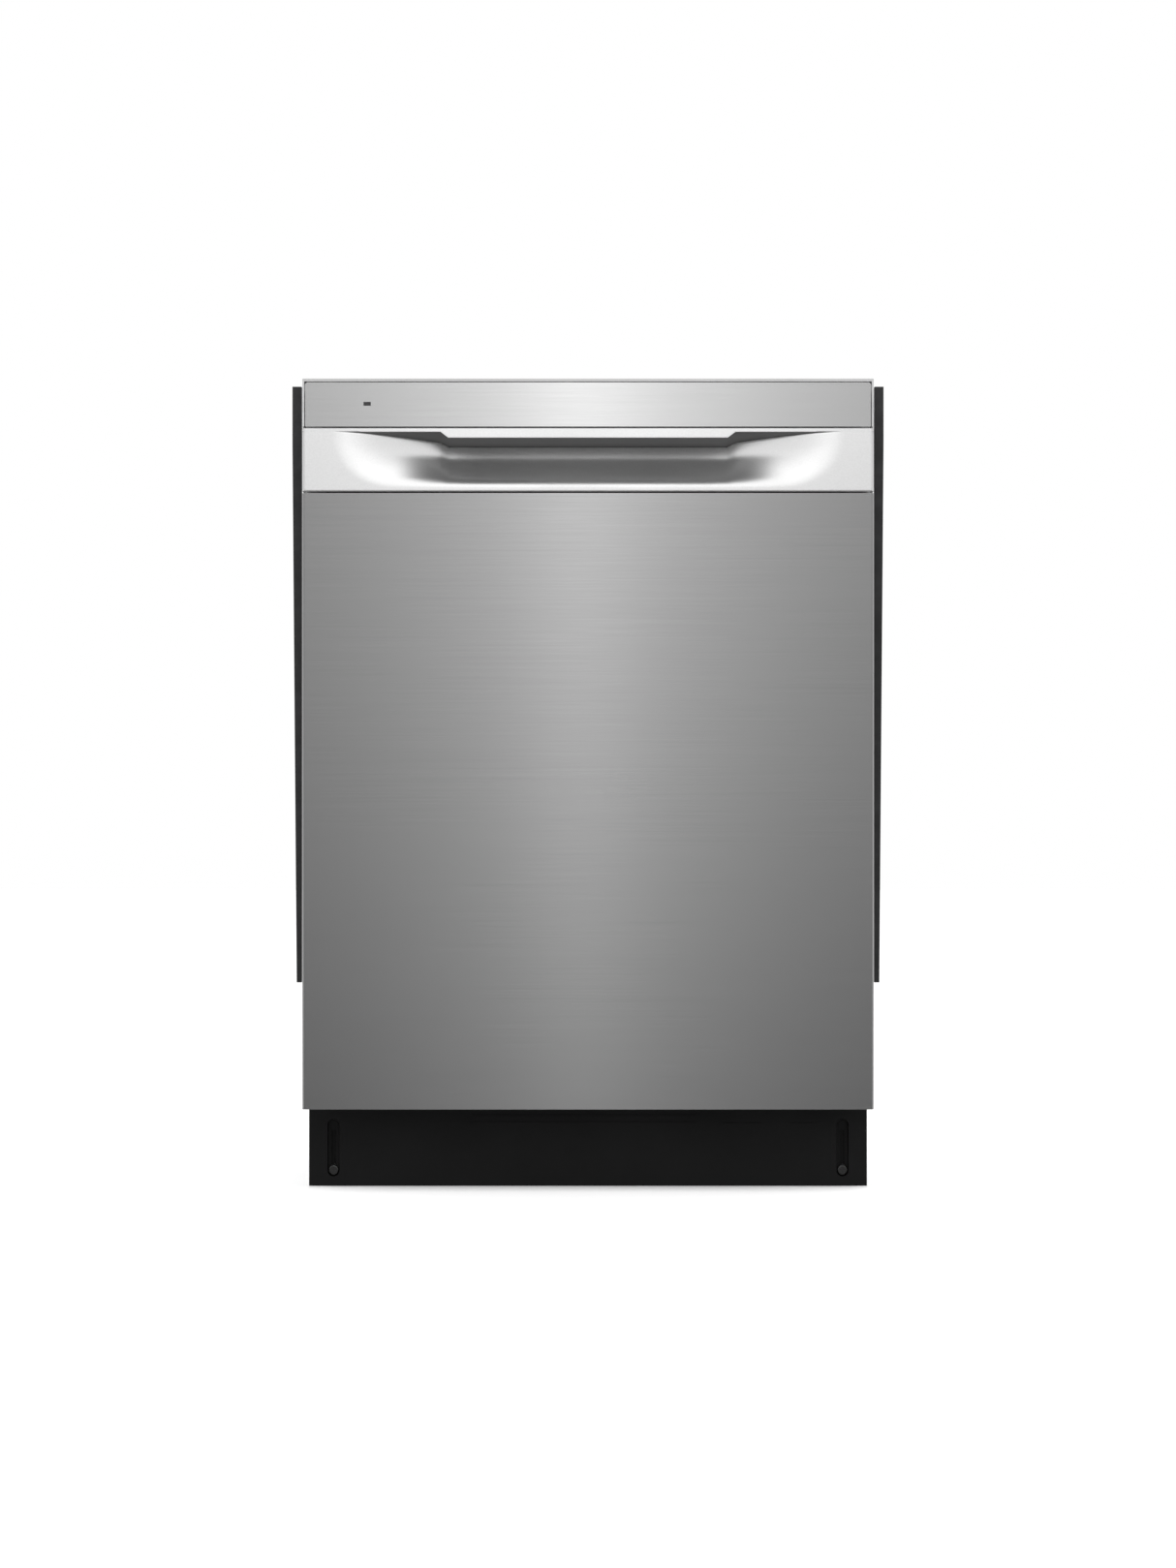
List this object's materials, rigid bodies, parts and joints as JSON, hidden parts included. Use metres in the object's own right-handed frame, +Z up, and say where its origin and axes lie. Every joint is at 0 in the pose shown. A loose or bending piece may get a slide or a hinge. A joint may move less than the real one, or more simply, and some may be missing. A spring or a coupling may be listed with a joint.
{
  "type": "built-in dishwasher",
  "caption": "Built-in dishwasher with a brushed steel drop-down door, pocket handle, recessed black toe kick, steel tub, sliding wire racks and spray arms.",
  "frame": {"origin": "centre of the footprint on the floor, legs screwed in", "axes": "+X to the right as the user faces it, -Y towards the user, +Z up"},
  "size_m": [0.626, 0.61, 0.853],
  "materials": {
    "steel_brushed": "brushed",
    "steel_polished": "satin",
    "steel_inner": "satin",
    "steel_zinc": "galvanised",
    "console_grey": "satin",
    "black_plastic": "matte",
    "black_gloss": "gloss",
    "black_rubber": "matte",
    "toe_paint": "satin black",
    "grey_plastic": "matte",
    "light_plastic": "matte",
    "rack_coating": "vinyl coated wire",
    "felt": "felt",
    "brass_fit": "machined",
    "screw_steel": "zinc",
    "pump_metal": "motor"
  },
  "bodies": {
    "cabinet": {"tub": "steel_inner", "tub_gasket": "black_rubber", "insulation_blanket": "felt", "trim_strips": "black_rubber", "countertop_brackets": "steel_zinc", "latch_strike": "steel_zinc", "rack_rails": "steel_inner", "ceiling_sprayer": "grey_plastic", "feed_tube": "grey_plastic", "heating_element": "steel_inner", "sump": "black_plastic", "coarse_filter": "steel_inner", "circulation_pump": "pump_metal", "hoses": "black_rubber", "drain_pump": "black_plastic", "drain_outlet": "black_plastic", "inlet_valve": "brass_fit", "junction_box": "steel_zinc", "junction_cover": "steel_zinc", "door_springs": "screw_steel", "base_frame": "steel_zinc", "access_panel": "toe_paint", "kick_screws": "screw_steel"},
    "door": {"door_outer_panel": "steel_brushed", "handle_panel": "steel_polished", "control_fascia": "steel_brushed", "console_housing": "console_grey", "indicator_lens": "black_gloss", "control_strip": "black_gloss", "door_liner": "steel_inner", "door_insulation": "felt", "bottom_seal": "black_rubber", "hinge_arms": "steel_zinc", "detergent_dispenser": "light_plastic", "vent": "light_plastic", "door_latch": "black_plastic"},
    "detergent_lid": {"detergent_lid": "light_plastic"},
    "rinse_aid_cap": {"rinse_aid_cap": "grey_plastic"},
    "start_button": {"start_button": "grey_plastic"},
    "cycle_button": {"cycle_button": "grey_plastic"},
    "cancel_button": {"cancel_button": "grey_plastic"},
    "float": {"float_dome": "light_plastic"},
    "fine_filter": {"fine_filter": "grey_plastic"},
    "lower_arm": {"lower_spray_arm": "grey_plastic"},
    "upper_arm": {"upper_spray_arm": "grey_plastic"},
    "lower_rack": {"lower_rack": "rack_coating", "cutlery_basket": "grey_plastic"},
    "front_tines": {"front_tines": "rack_coating"},
    "rear_tines": {"rear_tines": "rack_coating"},
    "upper_rack": {"upper_rack": "rack_coating", "rack_adjusters": "light_plastic", "rack_manifold": "grey_plastic"},
    "cup_shelf": {"cup_shelf": "rack_coating"},
    "third_rack": {"third_rack": "rack_coating"},
    "upper_slides": {"upper_slides": "steel_inner"},
    "toe_kick": {"toe_kick": "toe_paint"},
    "front_wheels": {"front_wheels": "grey_plastic"},
    "front_legs": {"front_legs": "steel_zinc"},
    "rear_wheels": {"rear_wheels": "grey_plastic"},
    "rear_legs": {"rear_legs": "steel_zinc"}
  },
  "joints": [
    {"name": "door_hinge", "type": "hinge", "parent": "cabinet", "child": "door", "pos_m": [0, -0.26, 0.11], "axis": [1, 0, 0], "range_deg": [0, 90]},
    {"name": "lower_rack_slide", "type": "slide", "parent": "cabinet", "child": "lower_rack", "axis": [0, -1, 0], "range_m": [0, 0.2]},
    {"name": "upper_rack_slide", "type": "slide", "parent": "cabinet", "child": "upper_rack", "axis": [0, -1, 0], "range_m": [0, 0.5]},
    {"name": "upper_slides_slide", "type": "slide", "parent": "cabinet", "child": "upper_slides", "axis": [0, -1, 0], "range_m": [0, 0.25]},
    {"name": "third_rack_slide", "type": "slide", "parent": "cabinet", "child": "third_rack", "axis": [0, -1, 0], "range_m": [0, 0.45]},
    {"name": "front_wheels_spin", "type": "hinge", "parent": "lower_rack", "child": "front_wheels", "pos_m": [0, -0.15, 0.1705], "axis": [1, 0, 0], "continuous": true},
    {"name": "rear_wheels_spin", "type": "hinge", "parent": "lower_rack", "child": "rear_wheels", "pos_m": [0, 0.19, 0.1705], "axis": [1, 0, 0], "continuous": true},
    {"name": "lower_arm_spin", "type": "hinge", "parent": "cabinet", "child": "lower_arm", "pos_m": [0, 0.025, 0.184], "axis": [0, 0, 1], "continuous": true},
    {"name": "upper_arm_spin", "type": "hinge", "parent": "upper_rack", "child": "upper_arm", "pos_m": [0, 0.025, 0.471], "axis": [0, 0, 1], "continuous": true},
    {"name": "front_tines_fold", "type": "hinge", "parent": "lower_rack", "child": "front_tines", "pos_m": [0, -0.07, 0.214], "axis": [1, 0, 0], "range_deg": [-80, 0]},
    {"name": "rear_tines_fold", "type": "hinge", "parent": "lower_rack", "child": "rear_tines", "pos_m": [0, 0.04, 0.214], "axis": [1, 0, 0], "range_deg": [-80, 0]},
    {"name": "cup_shelf_fold", "type": "hinge", "parent": "upper_rack", "child": "cup_shelf", "pos_m": [-0.238, 0, 0.588], "axis": [0, 1, 0], "range_deg": [-80, 0]},
    {"name": "fine_filter_turn", "type": "hinge", "parent": "cabinet", "child": "fine_filter", "pos_m": [0, -0.045, 0.15], "axis": [0, 0, 1], "range_deg": [0, 90]},
    {"name": "float_lift", "type": "slide", "parent": "cabinet", "child": "float", "axis": [0, 0, 1], "range_m": [0, 0.01]},
    {"name": "detergent_lid_slide", "type": "slide", "parent": "door", "child": "detergent_lid", "axis": [1, 0, 0], "range_m": [-0.062, 0]},
    {"name": "rinse_aid_cap_turn", "type": "hinge", "parent": "door", "child": "rinse_aid_cap", "pos_m": [0.09, -0.25, 0.49], "axis": [0, 1, 0], "range_deg": [0, 90]},
    {"name": "start_button_press", "type": "slide", "parent": "door", "child": "start_button", "axis": [0, 0, -1], "range_m": [0, 0.0015], "stiffness_N_per_m": 600},
    {"name": "cycle_button_press", "type": "slide", "parent": "door", "child": "cycle_button", "axis": [0, 0, -1], "range_m": [0, 0.0015], "stiffness_N_per_m": 600},
    {"name": "cancel_button_press", "type": "slide", "parent": "door", "child": "cancel_button", "axis": [0, 0, -1], "range_m": [0, 0.0015], "stiffness_N_per_m": 600},
    {"name": "toe_kick_adjust", "type": "slide", "parent": "cabinet", "child": "toe_kick", "axis": [0, 0, -1], "range_m": [0, 0.038]},
    {"name": "front_legs_screw", "type": "slide", "parent": "cabinet", "child": "front_legs", "axis": [0, 0, -1], "range_m": [0, 0.038]},
    {"name": "rear_legs_screw", "type": "slide", "parent": "cabinet", "child": "rear_legs", "axis": [0, 0, -1], "range_m": [0, 0.038]}
  ],
  "couplings": [
    {"joint": "lower_rack_slide", "follows": "door_hinge", "m_per_rad": 0.12732},
    {"joint": "upper_rack_slide", "follows": "door_hinge", "m_per_rad": 0.31831},
    {"joint": "upper_slides_slide", "follows": "door_hinge", "m_per_rad": 0.15915},
    {"joint": "third_rack_slide", "follows": "door_hinge", "m_per_rad": 0.28648},
    {"joint": "front_wheels_spin", "follows": "door_hinge", "ratio": 7.0736},
    {"joint": "rear_wheels_spin", "follows": "door_hinge", "ratio": 7.0736}
  ]
}
